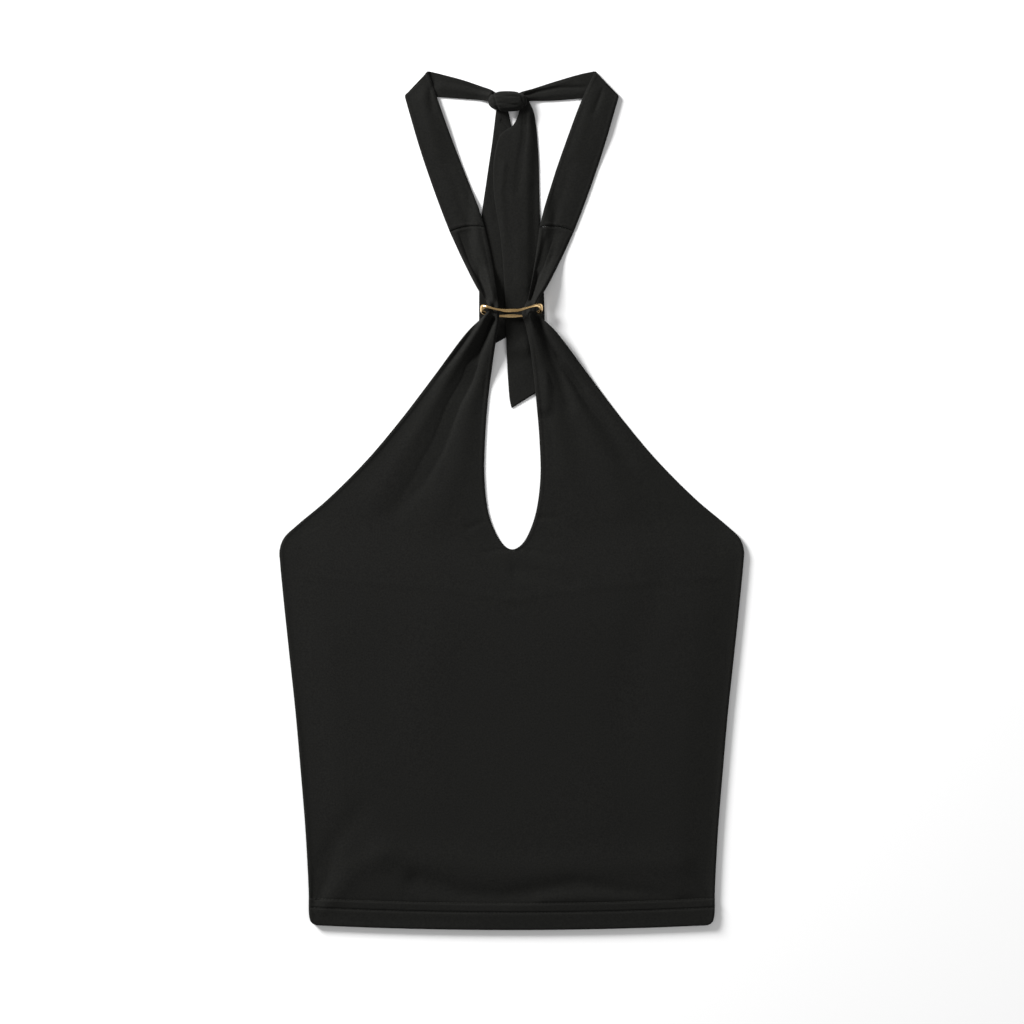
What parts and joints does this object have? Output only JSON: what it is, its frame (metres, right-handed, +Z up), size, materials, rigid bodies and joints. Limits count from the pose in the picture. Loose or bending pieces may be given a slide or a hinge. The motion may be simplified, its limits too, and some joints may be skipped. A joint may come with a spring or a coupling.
{
  "type": "halter top laid flat with ring and tied neck straps",
  "caption": "Flat-laid jersey halter top whose keyhole front is gathered through a metal ring, with neck straps tied behind the neck.",
  "frame": {"origin": "under the middle of the garment's box, on the surface that it lies on", "axes": "+Y from the hem to the neck, +Z up from the surface, +X to the right as seen from above"},
  "size_m": [0.3618, 0.6694, 0.015],
  "materials": {
    "jersey": "matte black fine jersey",
    "ring_metal": "polished gold-coloured plating"
  },
  "bodies": {
    "root": {"back_panel": "jersey", "front_panel": "jersey", "neck_strap_left": "jersey", "neck_strap_right": "jersey", "knot": "jersey", "tail_left": "jersey", "tail_right": "jersey", "ring": "ring_metal"}
  },
  "joints": []
}
